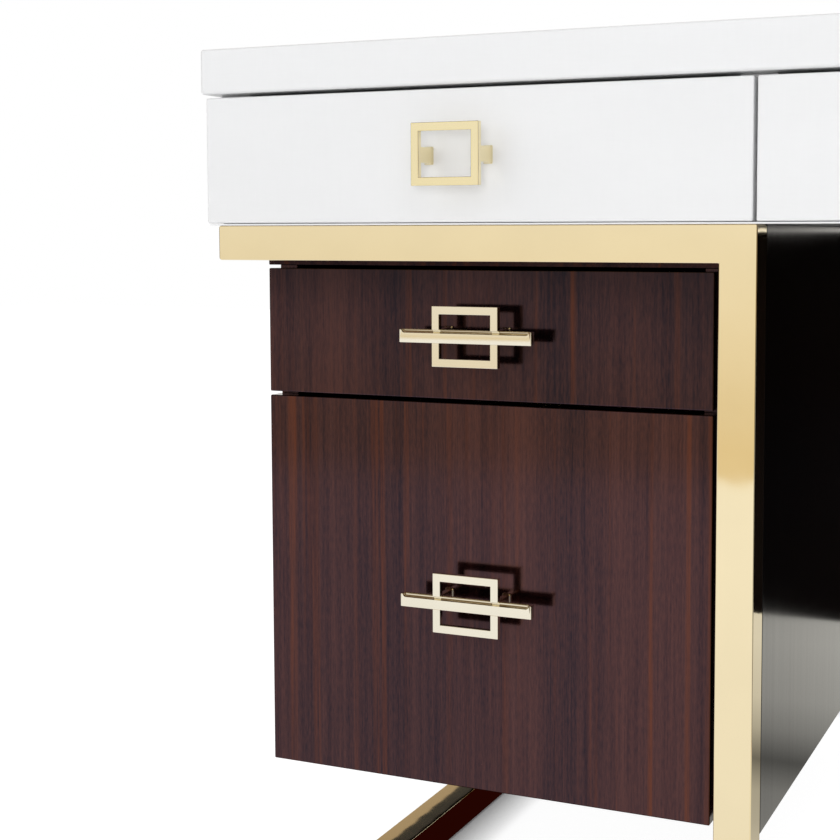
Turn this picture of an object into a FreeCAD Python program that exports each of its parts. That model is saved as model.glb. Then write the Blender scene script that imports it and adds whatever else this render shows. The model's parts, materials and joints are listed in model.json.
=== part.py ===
import FreeCAD, Part
import Sketcher
import os
import re

# Double pedestal desk on two brass tube frames.
# The desk stands on z = 0 and faces -Y, with its middle on x = 0.
# The origin is the bottom centre of the whole desk, its pulls included.
# All lengths are in millimetres. The left half is built from the sizes
# below, and the right half is its mirror image.

# Driving sizes, as name, value and meaning
SIZES = [
    ("top_width", 1524, "width of the top slab"),
    ("top_depth", 762, "depth of the top slab"),
    ("total_height", 762, "floor to the upper face of the slab"),
    ("top_thick", 40, "thickness of the slab"),
    ("top_round", 2.5, "rounding of the slab's edges"),
    ("kneehole_width", 507, "clear width between the pedestals"),
    # Apron under the slab
    ("apron_high", 117, "underside of the slab to the underside of the apron"),
    ("apron_board", 15, "thickness of the apron's bottom board"),
    ("apron_lip", 1.4, "thickness of the bottom board's lip under the drawer fronts"),
    ("lip_setback", 0.5, "lip behind the face of the drawer fronts"),
    ("apron_end_thick", 30, "thickness of end boards and partitions"),
    ("apron_end_inset", 6, "end board behind the slab's end"),
    ("apron_back_thick", 18, "thickness of the apron's back board"),
    ("apron_overhang", 4, "slab in front of the apron's drawer fronts"),
    ("partition_lap", 10, "partition past the kneehole's side"),
    ("apron_front_inset", 3, "outer drawer front behind the slab's end"),
    ("apron_front_high", 112, "height of the apron's drawer fronts"),
    # Drawer fronts and the gaps around them
    ("front_thick", 18, "thickness of a drawer front"),
    ("front_round", 1.2, "rounding of the dark drawer fronts' edges"),
    ("lacquer_round", 1.4, "rounding of the white drawer fronts' edges"),
    ("front_gap", 2, "buffer gap between a front and the carcass"),
    ("reveal", 3, "gap above the upper drawer fronts"),
    ("apron_slit", 3, "gap between the white drawer fronts"),
    ("centre_front_lap", 1, "centre drawer front beyond the kneehole at each side"),
    ("side_reveal", 3.5, "gap between neighbouring fronts and boards"),
    ("small_front_high", 113, "height of the pedestal's upper drawer front"),
    # Brass frame
    ("tube", 31, "outer size of the square tube"),
    ("tube_wall", 2, "wall of the tube"),
    ("tube_round", 2, "rounding of the tube's edges"),
    ("frame_end_inset", 14, "frame behind the slab's end"),
    ("frame_front_inset", 5, "frame behind the slab's front and back"),
    ("foot_end_inset", 138, "floor bar behind the slab's end"),
    ("frame_side_gap", 1.5, "outer top bar to the pedestal"),
    ("frame_front_gap", 0.5, "front and back bars to the pedestal"),
    ("vent", 8, "weld vent between two joined tubes"),
    ("glide_high", 2, "height of a floor glide"),
    ("glide_radius", 11, "radius of a floor glide"),
    ("glide_round", 0.6, "rounding of a glide's lower edge"),
    # Pedestal
    ("pedestal_bottom", 108, "floor to the lower edge of the fronts and the gable"),
    ("carcass_rise", 18, "carcass's underside above the fronts' lower edge"),
    ("pedestal_board", 18, "thickness of the carcass boards"),
    ("pedestal_back", 12, "thickness of the pedestal's back board"),
    ("pedestal_top", 35.5, "thickness of the pedestal's top board"),
    ("gable_thick", 38, "thickness of the board that faces the kneehole"),
    ("leg_clearance", 11.5, "pedestal drawer front to the leg"),
    ("board_round", 0.8, "rounding of the boards' edges"),
    ("modesty_thick", 16, "thickness of the modesty panel"),
    ("modesty_slit", 4, "slit between the modesty panel and the apron"),
    # Drawer boxes
    ("box_back_room", 99, "room behind the drawer boxes"),
    ("box_wall", 12, "thickness of a drawer box's walls"),
    ("box_bottom", 6, "thickness of a drawer box's bottom"),
    ("box_bottom_rise", 10, "bottom above the lower edge of the walls"),
    ("apron_box_high", 75, "height of an apron drawer's box"),
    ("small_box_high", 85, "height of the upper pedestal drawer's box"),
    ("file_box_drop", 50.5, "file drawer's box below the top of its front"),
    ("box_lift", 6, "box above the board under it"),
    ("small_box_lift", 12, "small box above the lower edge of its front"),
    ("rail_thick", 3, "thickness of a hanging file rail"),
    ("rail_high", 12, "height of a hanging file rail"),
    ("rail_inset", 20, "hanging file rail's middle to the box's side"),
    # Runners
    ("runner_space", 13, "space between a drawer box and the carcass"),
    ("runner_end", 5, "runner's end in front of the box's end"),
    ("runner_setback", 3, "runner behind the carcass front"),
    ("runner_rise", 34, "runner's middle above the box's lower edge"),
    ("runner_high", 42, "height of the cabinet member"),
    ("runner_lip", 2.4, "thickness of a member's lips"),
    ("runner_web", 1.4, "thickness of a member's web"),
    ("runner_play", 0.35, "play between two members"),
    # Pulls
    ("ring_width", 61.5, "outer width of the ring"),
    ("ring_high", 52, "outer height of the ring"),
    ("ring_bar", 7, "width of the ring's bars"),
    ("ring_thick", 5.5, "thickness of the ring"),
    ("pull_stand", 28, "ring's front in front of the drawer front"),
    ("post_high", 13, "height of a post"),
    ("foot_step", 0.7, "post's foot wider than the post"),
    ("foot_thick", 1.6, "thickness of a post's foot"),
    ("grip_long", 123, "length of the grip bar"),
    ("grip_high", 11.5, "height of the grip bar"),
    ("grip_thick", 7, "thickness of the grip bar"),
    ("grip_proud", 0.3, "grip bar in front of the ring"),
    ("scoop_radius", 3.2, "radius of the finger groove along the grip"),
    ("scoop_end", 5.2, "end of the grip to the middle of the groove's end"),
    ("pull_round", 0.35, "rounding of the pull's edges"),
    # Screws and brackets
    ("screw_radius", 2.5, "radius of a frame screw"),
    ("screw_play", 0.3, "clearance around a frame screw in the tube"),
    ("screw_fit", 0.1, "clearance around a frame screw in the board"),
    ("screw_head_radius", 5, "radius of a frame screw's head"),
    ("screw_head_high", 3, "height of a frame screw's head"),
    ("screw_bite", 11, "screw's length in the apron's bottom board"),
    ("access_play", 2, "access hole wider than the screw's head"),
    ("screw_end", 75, "bar's end to its nearest screw"),
    ("bracket_leg", 15, "length of a slab bracket's legs"),
    ("bracket_wide", 30, "width of a slab bracket"),
    ("bracket_thick", 2, "thickness of a slab bracket"),
    ("bracket_end", 90, "carcass front or back to the nearest bracket"),
    ("overrun", 1, "how far a cut runs past the face it opens"),
]

# Sizes and places that follow from the driving sizes
FORMULAS = {
    # Heights
    "slab_under": "total_height - top_thick",
    "apron_under": "slab_under - apron_high",
    "apron_floor": "apron_under + apron_board",
    "apron_front_z": "slab_under - reveal - apron_front_high",
    "bar_z": "apron_under - tube",
    "leg_z": "glide_high + tube",
    "pedestal_ceiling": "apron_under - pedestal_top",
    "small_front_z": "pedestal_ceiling - reveal - small_front_high",
    "file_front_high": "small_front_z - side_reveal - pedestal_bottom",
    "carcass_z": "pedestal_bottom + carcass_rise",
    "file_box_z": "carcass_z + pedestal_board + box_lift",
    "file_box_high": "small_front_z - side_reveal - file_box_drop - file_box_z",
    # Front to back places
    "pull_overreach": "pull_stand - apron_overhang",
    "slab_front": "(pull_overreach - top_depth) / 2",
    "slab_back": "slab_front + top_depth",
    "apron_face": "slab_front + apron_overhang",
    "apron_box_y": "apron_face + front_thick",
    "apron_front": "apron_box_y + front_gap",
    "apron_rear": "slab_back - apron_overhang",
    "frame_front": "slab_front + frame_front_inset",
    "frame_rear": "slab_back - frame_front_inset",
    "frame_back_y": "frame_rear - tube",
    "pedestal_face": "frame_front + tube + frame_front_gap",
    "pedestal_box_y": "pedestal_face + front_thick",
    "carcass_front": "pedestal_box_y + front_gap",
    "carcass_rear": "frame_back_y - frame_front_gap",
    "carcass_depth": "carcass_rear - carcass_front",
    "box_length": "carcass_rear - pedestal_back - box_back_room - pedestal_box_y",
    "runner_length": "box_length - front_gap - runner_setback - runner_end",
    # Left to right places of the left half
    "slab_end": "-top_width / 2",
    "frame_end": "slab_end + frame_end_inset",
    "foot_end": "slab_end + foot_end_inset",
    "knee_side": "-kneehole_width / 2",
    "leg_x": "knee_side - tube",
    "pedestal_end": "frame_end + tube + frame_side_gap",
    "pedestal_front_wide": "leg_x - leg_clearance - pedestal_end",
    "gable_x": "knee_side - gable_thick",
    "inner_board_x": "gable_x - pedestal_board",
    "pedestal_open_x": "pedestal_end + pedestal_board",
    "pedestal_open_wide": "inner_board_x - pedestal_open_x",
    "apron_end_x": "slab_end + apron_end_inset",
    "apron_open_x": "apron_end_x + apron_end_thick",
    "partition_right": "knee_side + partition_lap",
    "partition_x": "partition_right - apron_end_thick",
    "apron_open_wide": "partition_x - apron_open_x",
    "centre_open_wide": "-2 * partition_right",
    "end_front_x": "slab_end + apron_front_inset",
    "centre_front_x": "knee_side - centre_front_lap",
    "centre_front_wide": "-2 * centre_front_x",
    "end_front_wide": "centre_front_x - apron_slit - end_front_x",
    # Runner members, each inside the last one
    "middle_high": "runner_high - 2 * runner_lip - 2 * runner_play",
    "inner_high": "middle_high - 2 * runner_lip - 2 * runner_play",
    "middle_gap": "runner_web + runner_play",
    "inner_gap": "2 * runner_web + 2 * runner_play",
    "lip_depth": "runner_space - runner_web",
    # Screws
    "seat_z": "apron_under - tube_wall",
    "front_bar_mid": "frame_front + tube / 2",
    "back_bar_mid": "frame_back_y + tube / 2",
    "side_bar_mid": "frame_end + tube / 2",
}

# Where screws hold the left frame under the apron, as x and y
SCREW_PLACES = [
    ("side_bar_mid", "frame_front + tube + screw_end"),
    ("side_bar_mid", "frame_back_y - screw_end"),
    ("frame_end + tube + screw_end", "back_bar_mid"),
    ("knee_side - tube - screw_end", "back_bar_mid"),
]

# Runner members: gap to the carcass, depth, height, and whether the web is on the box
CABINET_MEMBER = ("0", "lip_depth", "runner_high", False)
MIDDLE_MEMBER = ("middle_gap", "lip_depth - middle_gap", "middle_high", False)
DRAWER_MEMBER = ("inner_gap", "runner_space - inner_gap", "inner_high", True)
PLAIN_MEMBER = ("middle_gap", "runner_space - middle_gap", "middle_high", True)

SIZE_NAMES = [row[0] for row in SIZES]
AXES = ("x", "y", "z")
LEFT_TO_RIGHT = FreeCAD.Vector(1, 0, 0)

os.makedirs("parts", exist_ok=True)
doc = FreeCAD.newDocument("pedestal_desk")
sheet = doc.addObject("Spreadsheet::Sheet", "Sizes")
for number, (alias, amount, meaning) in enumerate(SIZES, start=1):
    sheet.set("A%d" % number, alias)
    sheet.set("B%d" % number, str(amount))
    sheet.set("C%d" % number, meaning)
    sheet.setAlias("B%d" % number, alias)
doc.recompute()

nodes = []


def formula(text):
    """Write a formula of size names as an expression on the sheet."""

    def replace(match):
        word = match.group(0)
        if word in FORMULAS:
            return "(" + formula(FORMULAS[word]) + ")"
        if word in SIZE_NAMES:
            return "Sizes." + word
        raise KeyError(word)

    return re.sub(r"[A-Za-z_][A-Za-z_0-9]*", replace, text)


def bind(thing, prop, text):
    """Tie one property to a formula."""
    thing.setExpression(prop, formula(text))


def place(thing, corner):
    """Tie the place of an object to three formulas."""
    for axis, text in zip(AXES, corner):
        bind(thing, "Placement.Base." + axis, text)


def new_body(label):
    body = doc.addObject("PartDesign::Body", label)
    body.Label = label
    return body


def add_box(body, size, corner, cut=False):
    """Add or cut a block inside a body."""
    kind = "PartDesign::SubtractiveBox" if cut else "PartDesign::AdditiveBox"
    block = body.newObject(kind, "Block")
    for prop, text in zip(("Length", "Width", "Height"), size):
        bind(block, prop, text)
    place(block, corner)
    return block


def add_cylinder(body, radius, height, corner, cut=False):
    """Add or cut an upright cylinder inside a body."""
    kind = "PartDesign::SubtractiveCylinder" if cut else "PartDesign::AdditiveCylinder"
    drum = body.newObject(kind, "Drum")
    bind(drum, "Radius", radius)
    bind(drum, "Height", height)
    place(drum, corner)
    return drum


def round_all(body, base, radius):
    """Round every edge that a feature of a body has."""
    fillet = body.newObject("PartDesign::Fillet", "Rounding")
    fillet.Base = (base, [""])
    fillet.UseAllEdges = True
    bind(fillet, "Radius", radius)
    return fillet


def keep(thing):
    """List an object as a node of the desk."""
    nodes.append(thing)
    return thing


def group(label, members):
    """Put like pieces into one node as separate solids."""
    bunch = doc.addObject("Part::Compound", label)
    bunch.Label = label
    bunch.Links = members
    return bunch


def mirror(thing, label):
    """Make the right hand copy of a left hand piece."""
    copy = doc.addObject("Part::Mirroring", label)
    copy.Label = label
    copy.Source = thing
    copy.Normal = LEFT_TO_RIGHT
    return copy


def both_sides(thing):
    """Keep a left hand piece and its right hand copy."""
    keep(thing)
    return keep(mirror(thing, thing.Label.replace("left", "right")))


def board(label, size, corner, rounding="board_round"):
    """A flat board with eased edges."""
    body = new_body(label)
    x_side, y_side, z_side = size
    sketch = body.newObject("Sketcher::SketchObject", "Outline")
    plane = [item for item in body.Origin.OriginFeatures if item.Role == "XY_Plane"][0]
    sketch.AttachmentSupport = (plane, [""])
    sketch.MapMode = "FlatFace"
    corners = [FreeCAD.Vector(a, b, 0) for a, b in ((0, 0), (1, 0), (1, 1), (0, 1))]
    for number, start in enumerate(corners):
        sketch.addGeometry(Part.LineSegment(start, corners[(number + 1) % len(corners)]))
    for number in range(len(corners)):
        follower = (number + 1) % len(corners)
        sketch.addConstraint(Sketcher.Constraint("Coincident", number, 2, follower, 1))
        direction = "Horizontal" if number % 2 == 0 else "Vertical"
        sketch.addConstraint(Sketcher.Constraint(direction, number))
    sketch.addConstraint(Sketcher.Constraint("Coincident", 0, 1, -1, 1))
    across = sketch.addConstraint(Sketcher.Constraint("DistanceX", 0, 1, 0, 2, 1))
    along = sketch.addConstraint(Sketcher.Constraint("DistanceY", 1, 1, 1, 2, 1))
    bind(sketch, "Constraints[%d]" % across, x_side)
    bind(sketch, "Constraints[%d]" % along, y_side)
    pad = body.newObject("PartDesign::Pad", "Thickness")
    pad.Profile = sketch
    bind(pad, "Length", z_side)
    round_all(body, pad, rounding)
    place(body, corner)
    return body


def tube(label, axis, length, corner, vent=None, screws=()):
    """A square tube, open at both ends, or closed and vented where it is welded."""
    body = new_body(label)
    inner = "tube - 2 * tube_wall"
    outer_size = [length if name == axis else "tube" for name in AXES]
    inner_size = [inner] * len(AXES)
    inner_corner = ["tube_wall"] * len(AXES)
    along = AXES.index(axis)
    if vent:
        inner_size[along] = length + " - 2 * tube_wall"
    else:
        inner_size[along] = length + " + 2 * overrun"
        inner_corner[along] = "-overrun"
    outer = add_box(body, outer_size, ("0", "0", "0"))
    round_all(body, outer, "tube_round")
    add_box(body, inner_size, inner_corner, cut=True)
    if vent:
        vent_x = length + " - tube / 2 - vent / 2"
        vent_z = "tube - tube_wall - overrun" if vent == "up" else "-overrun"
        vent_size = ("vent", "vent", "tube_wall + 2 * overrun")
        add_box(body, vent_size, (vent_x, "tube / 2 - vent / 2", vent_z), cut=True)
    for screw in screws:
        spot = ["tube / 2", "tube / 2", "-overrun"]
        spot[along] = screw
        add_cylinder(body, "screw_head_radius + access_play", "tube_wall + 2 * overrun", spot, cut=True)
        spot[2] = "tube - tube_wall - overrun"
        add_cylinder(body, "screw_radius + screw_play", "tube_wall + 2 * overrun", spot, cut=True)
    place(body, corner)
    return body


def drawer_box(label, width, high, corner):
    """A drawer box of four walls round a raised bottom."""
    body = new_body(label)
    add_box(body, (width, "box_length", high), ("0", "0", "0"))
    inside = (width + " - 2 * box_wall", "box_length - 2 * box_wall")
    room = high + " - box_bottom_rise - box_bottom + overrun"
    floor = "box_bottom_rise + box_bottom"
    add_box(body, inside + (room,), ("box_wall", "box_wall", floor), cut=True)
    under = "box_bottom_rise + overrun"
    add_box(body, inside + (under,), ("box_wall", "box_wall", "-overrun"), cut=True)
    place(body, corner)
    return body


def channel(label, member, left_x, middle_z, front_y):
    """A runner member: a channel whose open side faces the drawer, or the carcass."""
    gap, depth, high, web_on_box = member
    body = new_body(label)
    add_box(body, (depth, "runner_length", high), ("0", "0", "0"))
    hollow_x = "-overrun" if web_on_box else "runner_web"
    hollow = (depth + " - runner_web + overrun", "runner_length + 2 * overrun", high + " - 2 * runner_lip")
    add_box(body, hollow, (hollow_x, "-overrun", "runner_lip"), cut=True)
    place(body, (left_x + " + " + gap, front_y + " + runner_setback", middle_z + " - " + high + " / 2"))
    return body


def runner_pair(label, member, left_x, open_wide, middle_z, front_y):
    """The members on both sides of one drawer."""
    near = channel(label + "_near", member, left_x, middle_z, front_y)
    turned = doc.addObject("Part::Mirroring", label + "_far")
    turned.Label = label + "_far"
    turned.Source = near
    turned.Normal = LEFT_TO_RIGHT
    bind(turned, "Base.x", "(" + left_x + ") + (" + open_wide + ") / 2")
    return [near, turned]


def pull(label, middle_x, face_y, middle_z, grip):
    """A rectangular ring on two posts, with or without a grip bar across it."""
    left = "-ring_width / 2"
    low = "-ring_high / 2"
    ring = new_body(label + "_ring")
    add_box(ring, ("ring_width", "ring_thick", "ring_high"), (left, "-pull_stand", low))
    opening = ("ring_width - 2 * ring_bar", "ring_thick + 2 * overrun", "ring_high - 2 * ring_bar")
    corner = (left + " + ring_bar", "-pull_stand - overrun", low + " + ring_bar")
    hole = add_box(ring, opening, corner, cut=True)
    round_all(ring, hole, "pull_round")
    pieces = [ring]
    post_front = "ring_thick / 2 - pull_stand"
    if grip:
        notch = ("ring_width + 2 * overrun", "ring_thick + 2 * overrun", "grip_high")
        add_box(ring, notch, (left + " - overrun", "-pull_stand - overrun", "-grip_high / 2"), cut=True)
        post_front = "ring_thick - pull_stand"
    post = ("ring_bar", "-(" + post_front + ")", "post_high")
    foot = ("ring_bar + 2 * foot_step", "foot_thick", "post_high + 2 * foot_step")
    for number, post_x in enumerate((left, "ring_width / 2 - ring_bar")):
        leg = new_body(label + "_post_%d" % number)
        add_box(leg, post, (post_x, post_front, "-post_high / 2"))
        add_box(leg, foot, (post_x + " - foot_step", "-foot_thick", "-post_high / 2 - foot_step"))
        pieces.append(leg)
    if grip:
        pieces.append(grip_bar(label + "_grip"))
    whole = doc.addObject("Part::MultiFuse", label)
    whole.Label = label
    whole.Shapes = pieces
    whole.Refine = True
    place(whole, (middle_x, face_y, middle_z))
    return whole


def grip_bar(label):
    """The bar across a ring, with a finger groove along its upper front edge."""
    body = new_body(label)
    front = "-pull_stand - grip_proud"
    bar = add_box(body, ("grip_long", "grip_thick", "grip_high"), ("-grip_long / 2", front, "-grip_high / 2"))
    round_all(body, bar, "pull_round")
    start_x = "scoop_end - grip_long / 2"
    groove = add_cylinder(body, "scoop_radius", "grip_long - 2 * scoop_end",
                          (start_x, front, "grip_high / 2"), cut=True)
    groove.Placement = FreeCAD.Placement(FreeCAD.Vector(), FreeCAD.Rotation(FreeCAD.Vector(0, 1, 0), 90))
    for middle_x in (start_x, "grip_long / 2 - scoop_end"):
        end = body.newObject("PartDesign::SubtractiveSphere", "GrooveEnd")
        bind(end, "Radius", "scoop_radius")
        place(end, (middle_x, front, "grip_high / 2"))
    return body


def build_apron():
    keep(board("top_slab", ("top_width", "top_depth", "top_thick"),
               ("slab_end", "slab_front", "slab_under"), "top_round"))
    floor = board("apron_bottom", ("-2 * apron_end_x", "apron_rear - apron_front", "apron_board"),
                  ("apron_end_x", "apron_front", "apron_under"))
    lip_reach = "(apron_front - apron_face - lip_setback)"
    add_box(floor, ("-2 * apron_end_x", lip_reach + " + board_round + overrun", "apron_lip"),
            ("0", "-" + lip_reach, "0"))
    for left_x, screw_y in SCREW_PLACES:
        for screw_x in (left_x, "-(" + left_x + ")"):
            hole = (screw_x + " - apron_end_x", screw_y + " - apron_front", "-overrun")
            add_cylinder(floor, "screw_radius + screw_fit", "screw_bite + overrun", hole, cut=True)
    keep(floor)
    wall_high = "slab_under - apron_floor"
    both_sides(board("apron_left_end", ("apron_end_thick", "apron_rear - apron_front", wall_high),
                     ("apron_end_x", "apron_front", "apron_floor")))
    partition_long = "apron_rear - apron_back_thick - apron_front"
    both_sides(board("apron_left_partition", ("apron_end_thick", partition_long, wall_high),
                     ("partition_x", "apron_front", "apron_floor")))
    keep(board("apron_back", ("-2 * apron_open_x", "apron_back_thick", wall_high),
               ("apron_open_x", "apron_rear - apron_back_thick", "apron_floor")))
    keep(board("modesty_panel", ("kneehole_width", "modesty_thick", "apron_under - modesty_slit - pedestal_bottom"),
               ("knee_side", "frame_rear - modesty_thick", "pedestal_bottom")))


def build_frame():
    bar_long = "(knee_side - frame_end)"
    foot_long = "(knee_side - foot_end)"
    side_long = "(frame_back_y - frame_front - tube)"
    leg_long = "bar_z - leg_z"
    back_screws = ("tube + screw_end", bar_long + " - tube - screw_end")
    side_screws = ("screw_end", side_long + " - screw_end")
    tubes = []
    for where, bar_y, screws in (("front", "frame_front", ()), ("back", "frame_back_y", back_screws)):
        tubes.append(tube(where + "_top_bar", "x", bar_long, ("frame_end", bar_y, "bar_z"), "down", screws))
        tubes.append(tube(where + "_leg", "z", leg_long, ("leg_x", bar_y, "leg_z")))
        tubes.append(tube(where + "_foot_bar", "x", foot_long, ("foot_end", bar_y, "glide_high"), "up"))
    side_y = "frame_front + tube"
    tubes.append(tube("side_top_bar", "y", side_long, ("frame_end", side_y, "bar_z"), None, side_screws))
    tubes.append(tube("side_floor_bar", "y", side_long, ("foot_end", side_y, "glide_high")))
    both_sides(group("left_frame", tubes))


def build_fasteners():
    screws = []
    for screw_x, screw_y in SCREW_PLACES:
        screw = new_body("screw_%d" % len(screws))
        add_cylinder(screw, "screw_head_radius", "screw_head_high", ("0", "0", "-screw_head_high"))
        add_cylinder(screw, "screw_radius", "tube_wall + screw_bite", ("0", "0", "0"))
        place(screw, (screw_x, screw_y, "seat_z"))
        screws.append(screw)
    screws += [mirror(screw, screw.Label + "_right") for screw in screws]
    keep(group("frame_screws", screws))

    glides = []
    for glide_y in ("front_bar_mid", "back_bar_mid"):
        for glide_x in ("foot_end + tube / 2", "knee_side - tube / 2"):
            glide = new_body("glide_%d" % len(glides))
            disc = add_cylinder(glide, "glide_radius", "glide_high", ("0", "0", "0"))
            round_all(glide, disc, "glide_round")
            place(glide, (glide_x, glide_y, "0"))
            glides.append(glide)
    glides += [mirror(glide, glide.Label + "_right") for glide in glides]
    keep(group("floor_glides", glides))

    brackets = []
    for wall_x in ("apron_open_x", "partition_right"):
        for bracket_y in ("apron_front + bracket_end", "apron_rear - bracket_end - bracket_wide"):
            bracket = new_body("bracket_%d" % len(brackets))
            add_box(bracket, ("bracket_thick", "bracket_wide", "bracket_leg"), ("0", "0", "-bracket_leg"))
            add_box(bracket, ("bracket_leg", "bracket_wide", "bracket_thick"), ("0", "0", "-bracket_thick"))
            place(bracket, (wall_x, bracket_y, "slab_under"))
            brackets.append(bracket)
    brackets += [mirror(bracket, bracket.Label + "_right") for bracket in brackets]
    keep(group("slab_brackets", brackets))


def build_pedestal():
    deep = "carcass_depth"
    side_high = "pedestal_ceiling - carcass_z"
    both_sides(board("left_pedestal_outer_side", ("pedestal_board", deep, side_high),
                     ("pedestal_end", "carcass_front", "carcass_z")))
    both_sides(board("left_pedestal_inner_side", ("pedestal_board", deep, side_high),
                     ("inner_board_x", "carcass_front", "carcass_z")))
    both_sides(board("left_pedestal_gable", ("gable_thick", "carcass_rear - pedestal_face",
                                             "apron_under - pedestal_bottom"),
                     ("gable_x", "pedestal_face", "pedestal_bottom")))
    both_sides(board("left_pedestal_top", ("gable_x - pedestal_end", "carcass_rear - pedestal_face",
                                           "pedestal_top"),
                     ("pedestal_end", "pedestal_face", "pedestal_ceiling")))
    both_sides(board("left_pedestal_bottom", ("pedestal_open_wide", deep + " - pedestal_back",
                                              "pedestal_board"),
                     ("pedestal_open_x", "carcass_front", "carcass_z")))
    both_sides(board("left_pedestal_back", ("pedestal_open_wide", "pedestal_back", side_high),
                     ("pedestal_open_x", "carcass_rear - pedestal_back", "carcass_z")))


def build_drawer(label, front, face_y, opening, box, grip, telescopic):
    """A drawer: front, pull, box and runners. Returns the runners fixed in the desk."""
    front_x, front_z, front_wide, front_high = front
    open_x, open_wide = opening
    box_z, box_high = box
    box_y = face_y + " + front_thick"
    carcass_y = box_y + " + front_gap"
    middle_x = "(" + front_x + ") + (" + front_wide + ") / 2"
    middle_z = "(" + front_z + ") + (" + front_high + ") / 2"
    runner_z = "(" + box_z + ") + runner_rise"
    pieces = [
        board(label + "_front", (front_wide, "front_thick", front_high), (front_x, face_y, front_z),
              "front_round" if grip else "lacquer_round"),
        pull(label + "_pull", middle_x, face_y, middle_z, grip),
        drawer_box(label + "_box", open_wide + " - 2 * runner_space", box_high,
                   (open_x + " + runner_space", box_y, box_z)),
    ]
    span = (open_x, open_wide, runner_z, carcass_y)
    fixed = runner_pair(label + "_cabinet_member", CABINET_MEMBER, *span)
    if telescopic:
        middle = runner_pair(label + "_middle_member", MIDDLE_MEMBER, *span)
        pieces.append(group(label + "_middle_runners", middle))
    inner = DRAWER_MEMBER if telescopic else PLAIN_MEMBER
    pieces.append(group(label + "_runners", runner_pair(label + "_drawer_member", inner, *span)))
    return pieces, fixed


def file_rails(label):
    """Two rails for hanging files, lying on the front and back walls of the deep box."""
    rails = []
    near = "pedestal_open_x + runner_space + rail_inset"
    far = "inner_board_x - runner_space - rail_inset"
    for number, rail_x in enumerate((near, far)):
        rail = new_body(label + "_%d" % number)
        add_box(rail, ("rail_thick", "box_length", "rail_high"), ("-rail_thick / 2", "0", "0"))
        place(rail, (rail_x, "pedestal_box_y", "file_box_z + file_box_high"))
        rails.append(rail)
    return group(label, rails)


def build_drawers():
    apron_box = ("apron_floor + box_lift", "apron_box_high")
    small_box = ("small_front_z + small_box_lift", "small_box_high")
    file_box = ("file_box_z", "file_box_high")
    pedestal_opening = ("pedestal_open_x", "pedestal_open_wide")
    end_front = ("end_front_x", "apron_front_z", "end_front_wide", "apron_front_high")
    centre_front = ("centre_front_x", "apron_front_z", "centre_front_wide",
                    "apron_front_high")
    small_front = ("pedestal_end", "small_front_z", "pedestal_front_wide", "small_front_high")
    file_front = ("pedestal_end", "pedestal_bottom", "pedestal_front_wide", "file_front_high")

    centre, cabinet_runners = build_drawer("centre_drawer", centre_front, "apron_face",
                                           ("partition_right", "centre_open_wide"), apron_box,
                                           grip=False, telescopic=False)
    for piece in centre:
        keep(piece)

    left_drawers = [
        build_drawer("left_apron_drawer", end_front, "apron_face", ("apron_open_x", "apron_open_wide"),
                     apron_box, grip=False, telescopic=False),
        build_drawer("left_small_drawer", small_front, "pedestal_face", pedestal_opening, small_box,
                     grip=True, telescopic=True),
        build_drawer("left_file_drawer", file_front, "pedestal_face", pedestal_opening, file_box,
                     grip=True, telescopic=True),
    ]
    for pieces, fixed in left_drawers:
        for piece in pieces:
            both_sides(piece)
        cabinet_runners += fixed
        cabinet_runners += [mirror(member, member.Label.replace("left", "right")) for member in fixed]
    both_sides(file_rails("left_file_rails"))
    keep(group("cabinet_runners", cabinet_runners))


def check_and_export():
    """Stop at a failed object, and write each node's shape."""
    for thing in doc.Objects:
        faults = [state for state in thing.State if state in ("Invalid", "Error")]
        if faults:
            raise RuntimeError("%s is %s" % (thing.Label, faults[0]))
    for node in nodes:
        shape = node.Shape
        if shape.isNull() or not shape.isValid() or shape.Volume <= 0:
            raise RuntimeError("%s has no valid shape" % node.Label)
        shape.exportStep("parts/" + node.Label + ".step")
        print("%-32s solids %2d volume %12.1f" % (node.Label, len(shape.Solids), shape.Volume))
    print(len(nodes), "nodes")


build_apron()
build_frame()
build_pedestal()
build_fasteners()
build_drawers()
doc.recompute()
check_and_export()
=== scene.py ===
import json
import math

import bmesh
import bpy
from bpy.props import FloatProperty, FloatVectorProperty, IntProperty, PointerProperty
from mathutils import Euler, Matrix, Vector


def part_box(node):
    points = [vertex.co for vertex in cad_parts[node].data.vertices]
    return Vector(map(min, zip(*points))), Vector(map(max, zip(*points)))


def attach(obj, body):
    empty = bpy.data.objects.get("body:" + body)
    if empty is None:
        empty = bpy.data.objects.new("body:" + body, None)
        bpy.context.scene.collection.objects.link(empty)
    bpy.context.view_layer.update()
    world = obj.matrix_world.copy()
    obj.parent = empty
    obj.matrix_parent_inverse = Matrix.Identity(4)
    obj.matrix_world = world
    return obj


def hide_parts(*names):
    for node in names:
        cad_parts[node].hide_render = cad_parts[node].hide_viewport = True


bl_info = {
    "name": "Pedestal Desk",
    "version": (1, 0, 0),
    "blender": (4, 5, 0),
    "location": "3D View > Sidebar > Desk",
    "description": "Finishes a double pedestal desk on brass tube frames",
    "category": "Add Mesh",
}

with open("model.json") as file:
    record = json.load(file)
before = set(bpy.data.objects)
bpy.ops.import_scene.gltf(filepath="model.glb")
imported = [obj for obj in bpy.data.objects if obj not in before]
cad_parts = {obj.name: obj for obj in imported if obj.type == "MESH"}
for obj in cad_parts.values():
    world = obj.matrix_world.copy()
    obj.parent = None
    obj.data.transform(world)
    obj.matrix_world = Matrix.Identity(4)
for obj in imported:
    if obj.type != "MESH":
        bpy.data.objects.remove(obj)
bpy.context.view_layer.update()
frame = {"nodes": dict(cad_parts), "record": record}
RECORD = frame["record"]
SLOTS = {part["node"]: part["material_slot"] for part in RECORD["subparts"]}
SIDES = ("left", "right")
DRAWERS = ["centre_drawer"] + [
    side + kind for side in SIDES for kind in ("_apron_drawer", "_small_drawer", "_file_drawer")]

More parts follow.
